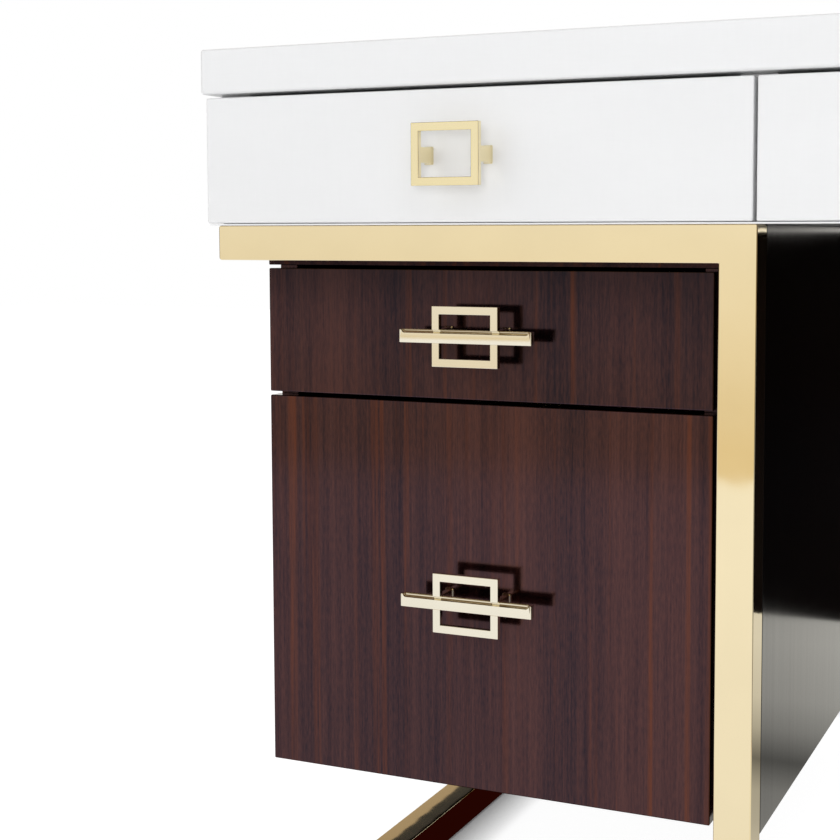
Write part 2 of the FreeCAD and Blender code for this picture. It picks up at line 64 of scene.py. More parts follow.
# Points closer than this, in metres, are at one place
NEAR = 1e-5
# Places of blocks are compared to this many digits of a metre
BLOCK_DIGITS = 6
# Faces that meet at less than this angle, in radians, are one flat face
FLAT = 0.02


# ---------------------------------------------------------------- settings

class DeskSizes(bpy.types.PropertyGroup):
    """Sizes of the pieces that are modelled here."""

    tube: FloatProperty(
        name="Tube", description="Outer size of the brass tube", default=0.031, unit="LENGTH")
    foot_inset: FloatProperty(
        name="Foot inset", description="Floor bar behind the outer end of the top bar", default=0.124,
        unit="LENGTH")
    tube_round: FloatProperty(
        name="Tube rounding", description="Rounding of the bars' edges", default=0.0011, unit="LENGTH")
    end_round: FloatProperty(
        name="End rounding", description="Rounding of the loops' outer corners", default=0.0026,
        unit="LENGTH")
    ring_bar: FloatProperty(
        name="Ring bar", description="Width of the bars of a ring pull", default=0.007, unit="LENGTH")
    ring_thick: FloatProperty(
        name="Ring thickness", description="Thickness of a ring pull", default=0.0055, unit="LENGTH")
    ring_width: FloatProperty(
        name="Ring width", description="Outer width of a ring pull", default=0.0615, unit="LENGTH")
    ring_sink: FloatProperty(
        name="Ring sink", description="How far a ring's uprights reach into the grip bar",
        default=0.0002, unit="LENGTH")
    post_high: FloatProperty(
        name="Post height", description="Height of a pull's post", default=0.013, unit="LENGTH")
    post_gap: FloatProperty(
        name="Post gap", description="Side of the ring's bar to the narrower post's side",
        default=0.0005, unit="LENGTH")
    post_sink: FloatProperty(
        name="Post sink", description="How far a post reaches into a ring with a grip bar",
        default=0.0004, unit="LENGTH")
    flare: FloatProperty(
        name="Post flare", description="How far a post widens at its foot", default=0.0012,
        unit="LENGTH")
    pull_round: FloatProperty(
        name="Pull rounding", description="Rounding of a pull's edges", default=0.0005, unit="LENGTH")
    post_round: FloatProperty(
        name="Post rounding", description="Rounding of a post's edges", default=0.0010, unit="LENGTH")
    grip_high: FloatProperty(
        name="Grip height", description="Height of a grip bar", default=0.0115, unit="LENGTH")
    grip_thick: FloatProperty(
        name="Grip thickness", description="Thickness of a grip bar", default=0.007, unit="LENGTH")
    grip_proud: FloatProperty(
        name="Grip proud", description="Grip bar in front of the ring", default=0.0003, unit="LENGTH")
    groove_radius: FloatProperty(
        name="Groove radius", description="Radius of the groove along a grip bar", default=0.0032,
        unit="LENGTH")
    groove_end: FloatProperty(
        name="Groove end", description="End of a grip bar to the middle of its groove's end",
        default=0.0052, unit="LENGTH")
    screw_head: FloatProperty(
        name="Screw head", description="Radius of a drawer's screw heads", default=0.0036,
        unit="LENGTH")
    screw_high: FloatProperty(
        name="Screw height", description="Height of the screw heads", default=0.0018, unit="LENGTH")
    runner_web: FloatProperty(
        name="Runner web", description="Thickness of a runner's sheet", default=0.0014, unit="LENGTH")
    box_board: FloatProperty(
        name="Box board", description="Thickness of a box's front board", default=0.012, unit="LENGTH")
    bumper_radius: FloatProperty(
        name="Bumper radius", description="Radius of a front's bumpers", default=0.0045, unit="LENGTH")
    bumper_high: FloatProperty(
        name="Bumper height", description="Height of a front's bumpers", default=0.0016, unit="LENGTH")
    bumper_side: FloatProperty(
        name="Bumper to side", description="Middle of a bumper to the front's side edge",
        default=0.012, unit="LENGTH")
    bumper_edge: FloatProperty(
        name="Bumper to edge", description="Middle of a bumper to the front's long edge",
        default=0.010, unit="LENGTH")
    cap_radius: FloatProperty(
        name="Cap radius", description="Radius of the caps under the frames", default=0.0074,
        unit="LENGTH")
    cap_high: FloatProperty(
        name="Cap height", description="Height of the caps under the frames", default=0.0009,
        unit="LENGTH")
    cap_inset: FloatProperty(
        name="Cap inset", description="Middle of a cap to the bar that crosses its own",
        default=0.075, unit="LENGTH")


class DeskFinish(bpy.types.PropertyGroup):
    """Colours of the desk."""

    lacquer: FloatVectorProperty(
        name="Lacquer", description="White lacquer of top and apron", subtype="COLOR",
        default=(0.87, 0.875, 0.885))
    veneer_dark: FloatVectorProperty(
        name="Veneer, dark", description="Dark fibres of the veneer", subtype="COLOR",
        default=(0.0255, 0.0160, 0.0235))
    veneer_light: FloatVectorProperty(
        name="Veneer, light", description="Light fibres of the veneer", subtype="COLOR",
        default=(0.0940, 0.0390, 0.0365))
    veneer_streak: FloatVectorProperty(
        name="Veneer, streaks", description="Reddish streaks in the veneer", subtype="COLOR",
        default=(0.1500, 0.0430, 0.0200))
    # Painted shade: a near-black colour for the pedestals' undersides, standing in for the shade under
    # them
    painted_shade: FloatVectorProperty(
        name="Stain", description="Dark stain on the pedestals' undersides", subtype="COLOR",
        default=(0.006, 0.003, 0.002))
    brass: FloatVectorProperty(
        name="Brass", description="Polished brass of the frames", subtype="COLOR",
        default=(0.905, 0.774, 0.507))
    pull_brass: FloatVectorProperty(
        name="Pull brass", description="Paler brass of the pulls", subtype="COLOR",
        default=(0.907, 0.848, 0.70))
    steel: FloatVectorProperty(
        name="Steel", description="Zinc plated steel of the runners", subtype="COLOR",
        default=(0.62, 0.63, 0.64))
    plywood: FloatVectorProperty(
        name="Plywood", description="Birch plywood of the drawer boxes", subtype="COLOR",
        default=(0.62, 0.47, 0.30))
    nylon: FloatVectorProperty(
        name="Nylon", description="Nylon of glides and caps", subtype="COLOR",
        default=(0.02, 0.02, 0.02))
    grain_seed: IntProperty(name="Grain seed", description="Picks another piece of veneer", default=3)


class DeskStudio(bpy.types.PropertyGroup):
    """Camera and light."""

    camera_place: FloatVectorProperty(
        name="Camera", description="Where the camera stands", subtype="TRANSLATION", unit="LENGTH",
        default=(0.0259, -1.5042, 0.5949))
    camera_down: FloatProperty(
        name="Camera tilt", description="How far the camera looks down", subtype="ANGLE",
        default=math.radians(4.11))
    camera_left: FloatProperty(
        name="Camera turn", description="How far the camera looks to the left", subtype="ANGLE",
        default=math.radians(22.945))
    lens: FloatProperty(name="Lens", description="Focal length in millimetres", default=63.98)
    shift_x: FloatProperty(name="Shift X", description="Sideways shift of the lens", default=-0.1140)
    shift_y: FloatProperty(name="Shift Y", description="Upward shift of the lens", default=-0.09038)
    world_light: FloatProperty(name="World light", description="Brightness of the room", default=0.62)
    key_light: FloatProperty(
        name="Key light", description="Power of the main softbox", default=11.0)
    front_light: FloatProperty(
        name="Front light", description="Power of the softbox in front", default=29.0)
    top_light: FloatProperty(
        name="Top light", description="Power of the softbox overhead", default=7.0)
    rear_light: FloatProperty(
        name="Rear light", description="Power of the softbox behind", default=15.0)
    fill_light: FloatProperty(
        name="Fill light", description="Power of the softbox at the left", default=9.5)


# ---------------------------------------------------------------- helpers

def linked(name, data):
    """A new object of the scene that holds a mesh, lamp or camera."""
    obj = bpy.data.objects.new(name, data)
    bpy.context.scene.collection.objects.link(obj)
    return obj


def mesh_object(name, verts, faces):
    """Make a mesh object from points and faces."""
    mesh = bpy.data.meshes.new(name)
    mesh.from_pydata([tuple(v) for v in verts], [], faces)
    mesh.update()
    return linked(name, mesh)


def settle(obj):
    """Turn an object with its modifiers into a plain mesh."""
    graph = bpy.context.evaluated_depsgraph_get()
    mesh = bpy.data.meshes.new_from_object(obj.evaluated_get(graph))
    obj.modifiers.clear()
    old = obj.data
    obj.data = mesh
    mesh.name = obj.name
    bpy.data.meshes.remove(old)
    return obj


def smooth(mesh):
    """Shade every face of a mesh smoothly."""
    mesh.polygons.foreach_set("use_smooth", [True] * len(mesh.polygons))


def bevel(obj, width, segments=3, angle=35):
    """Round the edges of an object that are sharper than an angle in degrees."""
    smooth(obj.data)
    modifier = obj.modifiers.new("Rounding", "BEVEL")
    modifier.width = width
    modifier.segments = segments
    modifier.limit_method = "ANGLE"
    modifier.angle_limit = math.radians(angle)
    modifier.harden_normals = True
    return modifier


def block_cells(blocks):
    """The planes of the blocks along each axis, and the cells between them that the blocks fill."""
    marks = [sorted({round(corner[axis], BLOCK_DIGITS) for block in blocks for corner in block})
             for axis in range(3)]
    filled = set()
    counts = [range(len(marks[axis]) - 1) for axis in range(3)]
    for cell in ((i, j, k) for i in counts[0] for j in counts[1] for k in counts[2]):
        middle = [(marks[axis][n] + marks[axis][n + 1]) / 2 for axis, n in enumerate(cell)]
        if any(all(low[a] < middle[a] < high[a] for a in range(3)) for low, high in blocks):
            filled.add(cell)
    return marks, filled


def union_of_blocks(name, blocks):
    """One closed skin round blocks that touch or overlap, given as low and high corners."""
    marks, filled = block_cells(blocks)
    verts, faces, known = [], [], {}

    def vert(key):
        if key not in known:
            known[key] = len(verts)
            verts.append([marks[axis][number] for axis, number in enumerate(key)])
        return known[key]

    for cell in sorted(filled):
        for axis in range(3):
            for side in (0, 1):
                beyond = list(cell)
                beyond[axis] += 1 if side else -1
                if tuple(beyond) in filled:
                    continue
                u, w = (axis + 1) % 3, (axis + 2) % 3
                corners = []
                for du, dw in ((0, 0), (1, 0), (1, 1), (0, 1)):
                    key = list(cell)
                    key[axis] += side
                    key[u] += du
                    key[w] += dw
                    corners.append(vert(tuple(key)))
                faces.append(corners if side else corners[::-1])
    obj = mesh_object(name, verts, faces)
    shape = bmesh.new()
    shape.from_mesh(obj.data)
    bmesh.ops.dissolve_limit(shape, angle_limit=FLAT, verts=shape.verts, edges=shape.edges)
    shape.to_mesh(obj.data)
    shape.free()
    return obj


def join(name, parts):
    """Join objects into one mesh object at the origin."""
    shape = bmesh.new()
    for part in parts:
        shape.from_mesh(part.data)
    mesh = bpy.data.meshes.new(name)
    shape.to_mesh(mesh)
    shape.free()
    for part in parts:
        old = part.data
        bpy.data.objects.remove(part)
        bpy.data.meshes.remove(old)
    return linked(name, mesh)


def copy_to(name, pattern, place):
    """A copy of a pattern mesh with its place in its mesh."""
    mesh = pattern.copy()
    mesh.transform(Matrix.Translation(place))
    return linked(name, mesh)


def dress(obj, material, body):
    """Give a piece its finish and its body."""
    obj.data.materials.clear()
    obj.data.materials.append(material)
    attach(obj, body)


def body_of(node):
    """The moving body that a node of the desk belongs to."""
    for name, nodes in RECORD["behaviour"]["bodies"].items():
        if node in nodes:
            return name
    raise RuntimeError("no body holds " + node)


# ---------------------------------------------------------------- node trees

class Tree:
    """Shorthand for building a node tree."""

    def __init__(self, tree):
        self.tree = tree

    def add(self, kind, inputs=None, **settings):
        """A node with its settings and what feeds it."""
        node = self.tree.nodes.new(kind)
        for key, value in settings.items():
            setattr(node, key, value)
        for key, value in (inputs or {}).items():
            self.feed(node.inputs[key], value)
        return node

    def feed(self, socket, value):
        """Link a socket to an input, or set the input's value."""
        if isinstance(value, bpy.types.NodeSocket):
            self.tree.links.new(value, socket)
        else:
            socket.default_value = value

    def ramp(self, value, *stops):
        """A colour ramp of (position, colour or grey) stops."""
        node = self.add("ShaderNodeValToRGB", {"Fac": value})
        elements = node.color_ramp.elements
        while len(elements) < len(stops):
            elements.new(0.5)
        for element, (position, colour) in zip(elements, stops):
            element.position = position
            if isinstance(colour, (int, float)):
                colour = (colour, colour, colour)
            element.color = (*colour, 1)
        return node.outputs["Color"]

    def mix(self, factor, first, second, blend="MIX"):
        """Two colours mixed by a factor."""
        node = self.add("ShaderNodeMix", {"Factor": factor}, data_type="RGBA", blend_type=blend)
        for index, value in ((6, first), (7, second)):
            if isinstance(value, (tuple, list)):
                value = (*value[:3], 1)
            self.feed(node.inputs[index], value)
        return node.outputs[2]

    def mix_shader(self, factor, first, second):
        """Two shaders mixed by a factor."""
        return self.add("ShaderNodeMixShader", {0: factor, 1: first, 2: second}).outputs["Shader"]

    def math(self, operation, first, *others):
        """One operation on a value, or on several values in turn."""
        if not others:
            return self.add("ShaderNodeMath", {0: first}, operation=operation).outputs["Value"]
        for other in others:
            node = self.add("ShaderNodeMath", {0: first, 1: other}, operation=operation)
            first = node.outputs["Value"]
        return first

    def weighted(self, *parts):
        """The sum of values, each times its weight."""
        return self.math("ADD", *[self.math("MULTIPLY", value, weight) for value, weight in parts])

    def rest(self, value, amount=1.0):
        """What is left of 1 after a value times an amount is taken away."""
        return self.math("SUBTRACT", 1.0, self.math("MULTIPLY", value, amount))

    def share(self, value, start, end, low=0.0, high=1.0):
        """A value's way from start to end, laid between low and high."""
        node = self.add("ShaderNodeMapRange", {
            "Value": value, "From Min": start, "From Max": end, "To Min": low, "To Max": high})
        return node.outputs["Result"]

    def openness(self, direction, distance, samples):
        """How free the space near a point is in a direction."""
        node = self.add("ShaderNodeAmbientOcclusion", {"Distance": distance, "Normal": direction},
                        samples=samples)
        return node.outputs["AO"]


class Surface(Tree):
    """Shorthand for building one material."""

    def __init__(self, name):
        self.material = bpy.data.materials.new(name)
        self.material.use_nodes = True
        super().__init__(self.material.node_tree)
        self.shader = self.tree.nodes["Principled BSDF"]

    def set(self, **values):
        """Feed inputs of the main shader, named with underscores for spaces."""
        for key, value in values.items():
            self.feed(self.shader.inputs[key.replace("_", " ")], value)

    def place(self, scale=(1, 1, 1), offset=(0, 0, 0)):
        """Object coordinates, stretched and moved."""
        where = self.add("ShaderNodeTexCoord")
        mapping = self.add("ShaderNodeMapping", {
            "Vector": where.outputs["Object"], "Scale": scale, "Location": offset})
        return mapping.outputs["Vector"]

    def noise(self, vector, scale=1.0, detail=2.0, roughness=0.5, distortion=0.0):
        """Soft noise between 0 and 1."""
        node = self.add("ShaderNodeTexNoise", {
            "Vector": vector, "Scale": scale, "Detail": detail, "Roughness": roughness,
            "Distortion": distortion})
        return node.outputs["Fac"]

    def bump(self, height, strength, distance):
        node = self.add("ShaderNodeBump", {
            "Height": height, "Strength": strength, "Distance": distance})
        self.set(Normal=node.outputs["Normal"])


def stretched(axis, across, along):
    """A texture's scale that is drawn out along one axis."""
    return tuple(along if name == axis else across for name in "xyz")


def times(colour, factor):
    """A lighter or darker colour."""
    return tuple(c * factor for c in colour)


# ---------------------------------------------------------------- finishes

# A seed moves the veneer's texture by this much along each axis
SEED_STEP = (1.7, 0.9, 2.3)
# The lacquered veneer mirrors like dark metal: this is how much
VENEER_MIRROR = 0.98
# From this weight of gloss on, the lacquer is thick and sides with painted shade keep it
THICK_GLOSS = 0.4
# What is left of the veneer's colour on sides with painted shade
SHADED_SHARE = 0.12


def lacquer(name, colour):
    """White lacquer with the faint weave of the board under it."""
    n = Surface(name)
    cloudy = n.noise(n.place((3.0, 3.0, 9.0)), scale=2.2, detail=3.0)
    fine = n.noise(n.place((60, 60, 600)))
    cross = n.noise(n.place((500, 500, 40)))
    weave = n.math("MULTIPLY", n.math("ADD", fine, cross), 0.5)
    tone = n.weighted((cloudy, 0.55), (weave, 0.45))
    n.set(Base_Color=n.mix(n.ramp(tone, (0.38, 0), (0.62, 1)), times(colour, 0.98), colour))
    n.set(Roughness=n.ramp(cloudy, (0.3, 0.30), (0.7, 0.36)))
    n.set(Coat_Weight=0.5, Coat_Roughness=0.08)
    n.bump(n.noise(n.place(), scale=260.0), strength=0.05, distance=0.0004)
    return n.material


def veneer(name, colours, grain, seed, tone_down=1.0, shaded_way=None, gloss=0.32):
    """Dark veneer with reddish streaks under gloss lacquer, its grain along one axis.

    Sides that face the given way are painted nearly black, a painted shade for sides that light hardly
    reaches, and matt unless the lacquer is thick. A way along X darkens both sides.
    """
    n = Surface(name)
    dark, light, streak = [times(colour, tone_down) for colour in colours]
    offset = tuple(seed * step for step in SEED_STEP)

    def grained(across, along, detail=2.0, roughness=0.5, distortion=0.0):
        where = n.place(stretched(grain, across, along), offset)
        return n.noise(where, detail=detail, roughness=roughness, distortion=distortion)

    bands = grained(13.0, 0.35, detail=3.0, roughness=0.55, distortion=0.2)
    stripes = grained(120.0, 1.3, detail=4.0, roughness=0.62)
    fibres = grained(560.0, 12.0, detail=3.0, roughness=0.65)
    seams = grained(115.0, 0.8, distortion=0.1)
    patches = grained(9.0, 0.5)
    pores = grained(760.0, 120.0, roughness=0.6)
    tone = n.weighted((bands, 0.30), (stripes, 0.22), (fibres, 0.24), (pores, 0.24))
    middle = tuple((a + b) / 2 for a, b in zip(dark, light))
    colour = n.ramp(tone, (0.40, dark), (0.50, middle), (0.60, light))
    seam = n.math("MULTIPLY", n.ramp(seams, (0.56, 0), (0.66, 1)),
                  n.ramp(fibres, (0.36, 0.25), (0.60, 0.85)),
                  n.ramp(patches, (0.38, 0.15), (0.60, 1)))

    # Painted shade: corners and the narrow gaps under the brass are darker, the colour darkened by how
    # closed in each point is upwards
    outward = n.add("ShaderNodeNewGeometry").outputs["Normal"]
    tilted = n.add("ShaderNodeVectorMath", {0: outward, 1: (0.0, 0.0, 1.0)}, operation="ADD")
    upward = n.add("ShaderNodeVectorMath", {0: tilted.outputs["Vector"]}, operation="NORMALIZE")
    free = n.openness(upward.outputs["Vector"], distance=0.09, samples=8)
    shade = n.ramp(free, (0.20, 0.50), (0.47, 0.66), (0.56, 0.84), (0.70, 1.0))

    mirror, coat = VENEER_MIRROR, n.ramp(stripes, (0.3, gloss * 0.8), (0.7, gloss * 1.2))
    # Painted shade: sides that face the given way are darkened to nearly black
    if shaded_way:
        facing = n.add("ShaderNodeVectorMath", {0: outward, 1: shaded_way},
                       operation="DOT_PRODUCT").outputs["Value"]
        if shaded_way[0]:
            facing = n.math("ABSOLUTE", facing)
        shade = n.math("MULTIPLY", shade, n.ramp(facing, (0.4, 1.0), (0.6, SHADED_SHARE)))
        if gloss < THICK_GLOSS:
            mirror = n.ramp(facing, (0.4, VENEER_MIRROR), (0.6, 0.0))
            coat = n.math("MULTIPLY", coat, mirror)
    darkness = n.ramp(shade, (0.0, 1.0), (1.0, 0.0))
    n.set(Base_Color=n.mix(darkness, n.mix(seam, colour, streak), (0, 0, 0)))
    n.set(Metallic=mirror, Roughness=n.ramp(stripes, (0.3, 0.115), (0.7, 0.155)))
    n.set(Specular_IOR_Level=0.05, Coat_Weight=coat, Coat_Roughness=0.10)
    n.set(Coat_IOR=1.5 if gloss > THICK_GLOSS else 1.35)
    n.bump(fibres, strength=0.04, distance=0.0003)
    return n.material


def metal(name, colour, roughness, brushed=None, depth=0.0):
    """Polished metal with a soft unevenness, or metal brushed to some depth along an axis."""
    n = Surface(name)
    uneven = n.noise(n.place(), scale=14.0, detail=3.0)
    n.set(Base_Color=n.mix(n.ramp(uneven, (0.35, 0), (0.65, 1)), times(colour, 0.97), colour))
    n.set(Metallic=1.0)
    n.set(Roughness=n.ramp(uneven, (0.3, roughness * 0.9), (0.7, roughness * 1.15)))
    if brushed:
        scratches = n.noise(n.place(stretched(brushed, 900.0, 12.0)))
        n.bump(scratches, strength=depth, distance=0.0002)
    else:
        n.bump(n.noise(n.place(), scale=30.0, detail=1.0), strength=0.08, distance=0.0010)
    return n.material


def plywood(name, colour):
    """Pale birch plywood under clear lacquer, its grain along the drawer."""
    n = Surface(name)
    bands = n.noise(n.place(stretched("y", 14, 0.8)), detail=4.0, roughness=0.55, distortion=0.4)
    fibres = n.noise(n.place(stretched("y", 320, 9)), detail=3.0)
    tone = n.weighted((bands, 0.65), (fibres, 0.35))
    n.set(Base_Color=n.ramp(tone, (0.34, times(colour, 0.74)), (0.50, colour),
                            (0.68, times(colour, 1.18))))
    n.set(Roughness=n.ramp(fibres, (0.3, 0.38), (0.7, 0.52)))
    n.set(Coat_Weight=0.25, Coat_Roughness=0.2)
    n.bump(fibres, strength=0.08, distance=0.0002)
    return n.material


def painted_shade(name, colour):
    """Bare board in a near-black colour with no gloss at all: painted shade for boards that lie in
    shade.
    """
    n = Surface(name)
    fibres = n.noise(n.place(stretched("y", 300, 8)))
    n.set(Base_Color=n.mix(fibres, times(colour, 0.7), times(colour, 1.3)))
    n.set(Roughness=0.95, Specular_IOR_Level=0.0)
    return n.material


def moulded(name, colour):
    """Moulded plastic with a fine sparked texture."""
    n = Surface(name)
    grain = n.noise(n.place(), scale=900.0)
    n.set(Base_Color=n.mix(grain, times(colour, 0.8), times(colour, 1.3)))
    n.set(Roughness=n.ramp(grain, (0.3, 0.42), (0.7, 0.58)))
    n.bump(grain, strength=0.15, distance=0.0002)
    return n.material


FINISHES = {}


def finishes():
    """All finishes by name, made once."""
    if FINISHES:
        return FINISHES
    look = bpy.context.scene.desk_finish
    seed = look.grain_seed
    wood = [tuple(colour) for colour in (look.veneer_dark, look.veneer_light, look.veneer_streak)]
    cool_wood = [(r * 0.93, g * 0.99, b * 1.10) for r, g, b in wood]
    pale_brass = tuple(look.pull_brass)
    warm_brass = tuple(c * share for c, share in zip(pale_brass, (1.02, 0.955, 0.73)))
    FINISHES.update({
        "white_lacquer": lacquer("white lacquer", tuple(look.lacquer)),
        "dark_veneer": veneer("upright veneer", wood, "z", seed),
        "small_veneer": veneer("upper veneer", cool_wood, "z", seed + 3, tone_down=0.92),
        # Painted shade: the pedestal tops' and outer sides' downward faces, the modesty panel's
        # kneehole face and both faces of the gables are darkened to nearly black, for the shade they
        # lie in
        "deep_veneer": veneer("veneer along the depth", wood, "y", seed + 1, tone_down=0.7,
                              shaded_way=(0, 0, -1), gloss=0.1),
        # Painted shade: the pedestals' bottom boards are near black for the shade under them
        "underside": painted_shade("underside stain", tuple(look.painted_shade)),
        "side_veneer": veneer("side veneer", wood, "z", seed + 5, shaded_way=(0, 0, -1)),
        "modesty_veneer": veneer("modesty veneer", wood, "z", seed + 2, shaded_way=(0, -1, 0),
                                 gloss=0.1),
        "gable_veneer": veneer("gable veneer", wood, "z", seed + 4, tone_down=0.6,
                               shaded_way=(1, 0, 0), gloss=0.42),
        "brass": metal("polished brass", tuple(look.brass), 0.05),
        "pull_brass": metal("pale brass", pale_brass, 0.13, brushed="x", depth=0.05),
        "warm_brass": metal("warm brass", warm_brass, 0.12, brushed="x", depth=0.05),
        "runner_steel": metal("zinc plated steel", tuple(look.steel), 0.28, brushed="y", depth=0.06),
        "drawer_wood": plywood("birch plywood", tuple(look.plywood)),
        "glide_plastic": moulded("nylon", tuple(look.nylon)),
    })
    return FINISHES


# ---------------------------------------------------------------- frames

def frame_ends(side):
    """The X of a frame's outer end and of its end at the kneehole, and which way is inward."""
    low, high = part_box(side + "_frame")
    return (low.x, high.x, 1) if side == "left" else (high.x, low.x, -1)


def frame_blocks(side, sizes):
    """The bars of one brass frame as overlapping blocks."""
    low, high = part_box(side + "_frame")
    outer, knee, inward = frame_ends(side)
    t = sizes.tube
    foot = outer + inward * sizes.foot_inset

    def block(x0, x1, y0, y1, z0, z1):
        return ((min(x0, x1), y0, z0), (max(x0, x1), y1, z1))

    blocks = []
    for y0, y1 in ((low.y, low.y + t), (high.y - t, high.y)):
        blocks.append(block(outer, knee, y0, y1, high.z - t, high.z))
        blocks.append(block(knee - inward * t, knee, y0, y1, low.z, high.z))
        blocks.append(block(foot, knee, y0, y1, low.z, low.z + t))
    blocks.append(block(outer, outer + inward * t, low.y, high.y, high.z - t, high.z))
    blocks.append(block(foot, foot + inward * t, low.y, high.y, low.z, low.z + t))
    return blocks


def weigh_edges(loop, sizes):
    """Round the outer corners of the loops well, and all other edges a little."""
    mesh = loop.data
    ends = [min(v.co.x for v in mesh.vertices), max(v.co.x for v in mesh.vertices)]
    weights = mesh.attributes.new("bevel_weight_edge", "FLOAT", "EDGE")
    slight = sizes.tube_round / sizes.end_round
    for edge in mesh.edges:
        a, b = (mesh.vertices[index].co for index in edge.vertices)
        along_y = abs(a.y - b.y) > 0.9 * (a - b).length
        at_end = min(abs(a.x - end) for end in ends) < NEAR
        weights.data[edge.index].value = 1.0 if along_y and at_end else slight


class DESK_OT_frames(bpy.types.Operator):
    """Make the two welded and polished brass frames"""

    bl_idname = "desk.frames"
    bl_label = "Brass frames"

    def execute(self, context):
        sizes = context.scene.desk_sizes
        for side in SIDES:
            loop = union_of_blocks(side + "_brass_frame", frame_blocks(side, sizes))
            weigh_edges(loop, sizes)
            bevel(loop, sizes.end_round, segments=4).limit_method = "WEIGHT"
            settle(loop)
            dress(loop, finishes()["brass"], "desk")
            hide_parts(side + "_frame")
        return {"FINISHED"}


# ---------------------------------------------------------------- pulls

# A post's foot: metres before the drawer front, and the share of the flare there
FOOT_PROFILE = ((-0.0050, 0.0), (-0.0034, 0.15), (-0.0022, 0.55), (-0.0014, 0.95), (-0.0009, 1.0),
                (-0.0004, 0.85), (0.0, 0.35))
# Sides of the rod that cuts a grip's groove
ROD_SIDES = 24


def has_grip(node):
    """Whether a pull has a grip bar across its ring, as those of the pedestals' drawers have."""
    return "small" in node or "file" in node


def post_mesh(left_x, depth, sizes):
    """A rectangular post that widens to a foot with a rounded rim, from the ring back to y = 0."""
    half_x, half_z = sizes.ring_bar / 2 - sizes.post_gap, sizes.post_high / 2
    middle = left_x + sizes.ring_bar / 2
    stations = ((-depth, 0.0),) + FOOT_PROFILE
    verts, faces = [], []
    for y, widening in stations:
        wider = widening * sizes.flare
        for sx, sz in ((-1, -1), (1, -1), (1, 1), (-1, 1)):
            verts.append((middle + sx * (half_x + wider), y, sz * (half_z + wider)))
    for row in range(len(stations) - 1):
        for k in range(4):
            a, b = row * 4 + k, row * 4 + (k + 1) % 4
            faces.append((a, b, b + 4, a + 4))
    last = len(verts) - 4
    faces += [(3, 2, 1, 0), (last, last + 1, last + 2, last + 3)]
    post = mesh_object("post", verts, faces)
    shape = bmesh.new()
    shape.from_mesh(post.data)
    bmesh.ops.recalc_face_normals(shape, faces=shape.faces)
    shape.to_mesh(post.data)
    shape.free()
    return post


def round_rod(length, radius):
    """A rod along X with round ends, centred on the origin. The length is without the ends."""
    shape = bmesh.new()
    bmesh.ops.create_uvsphere(shape, u_segments=ROD_SIDES, v_segments=ROD_SIDES // 2, radius=radius,
                              matrix=Matrix.Rotation(math.radians(90), 4, "Y"))
    for v in shape.verts:
        v.co.x += -length / 2 if v.co.x < -NEAR else length / 2
    mesh = bpy.data.meshes.new("rod")
    shape.to_mesh(mesh)
    shape.free()
    return linked("rod", mesh)


def grip_mesh(long, sizes, front):
    """The bar across a ring with the finger groove along its upper front edge."""
    half_x, half_z = long / 2, sizes.grip_high / 2
    block = ((-half_x, front, -half_z), (half_x, front + sizes.grip_thick, half_z))
    bar = union_of_blocks("grip", [block])
    bevel(bar, sizes.pull_round)
    settle(bar)
    rod = round_rod(long - 2 * sizes.groove_end, sizes.groove_radius)
    rod.data.transform(Matrix.Translation((0, front, half_z)))
    cut = bar.modifiers.new("Groove", "BOOLEAN")
    cut.operation = "DIFFERENCE"
    cut.object = rod
    cut.solver = "EXACT"
    settle(bar)
    bpy.data.objects.remove(rod)
    smooth(bar.data)
    bar.data.set_sharp_from_angle(angle=math.radians(40))
    return bar


def pull_pattern(node, sizes):
    """The mesh of one pull, with its foot on y = 0 and its middle on the origin."""
    low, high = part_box(node)
    grip = has_grip(node)
    stand = high.y - low.y - (sizes.grip_proud if grip else 0.0)
    bar, thick = sizes.ring_bar, sizes.ring_thick
    half_x, half_z = sizes.ring_width / 2, (high.z - low.z) / 2
    upright_end = sizes.grip_high / 2 - sizes.ring_sink if grip else 0.0
    blocks = []
    for sign in (-1, 1):
        upright = sorted((sign * upright_end, sign * half_z))
        rail = sorted((sign * (half_z - bar), sign * half_z))
        for x0, x1, (z0, z1) in ((-half_x, -half_x + bar, upright), (half_x - bar, half_x, upright),
                                 (-half_x, half_x, rail)):
            blocks.append(((x0, -stand, z0), (x1, thick - stand, z1)))
    ring = union_of_blocks("ring", blocks)
    bevel(ring, sizes.pull_round)
    parts = [settle(ring)]
    reach = stand - (thick - sizes.post_sink if grip else thick / 2)
    for left_x in (-half_x, half_x - bar):
        post = post_mesh(left_x, reach, sizes)
        bevel(post, sizes.post_round, angle=50)
        parts.append(settle(post))
    if grip:
        parts.append(grip_mesh(high.x - low.x, sizes, -stand - sizes.grip_proud))
    return join("pull", parts)


class DESK_OT_pulls(bpy.types.Operator):
    """Make the ring pulls of the white drawers and the grip pulls of the dark ones"""

    bl_idname = "desk.pulls"
    bl_label = "Pulls"

    def execute(self, context):
        sizes = context.scene.desk_sizes
        patterns = {}
        for drawer in DRAWERS:
            node = drawer + "_pull"
            low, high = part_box(node)
            grip = has_grip(node)
            if grip not in patterns:
                patterns[grip] = pull_pattern(node, sizes)
            place = ((low.x + high.x) / 2, high.y, (low.z + high.z) / 2)
            pull = copy_to(drawer + "_cast_pull", patterns[grip].data, place)
            finish = "pull_brass" if grip else "warm_brass"
            dress(pull, finishes()[finish], body_of(node))
            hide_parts(node)
        for pattern in patterns.values():
            bpy.data.objects.remove(pattern)
        return {"FINISHED"}


# ---------------------------------------------------------------- small repeats

# Rings of a domed head: shares of its radius and of its height
DOME = ((1.0, 0.0), (1.0, 0.35), (0.90, 0.72), (0.66, 0.94), (0.30, 1.0))
DOME_SIDES = 16
# How deep a screw's recess leaves its middle, as a share of the head's height
RECESS_FLOOR = 0.35
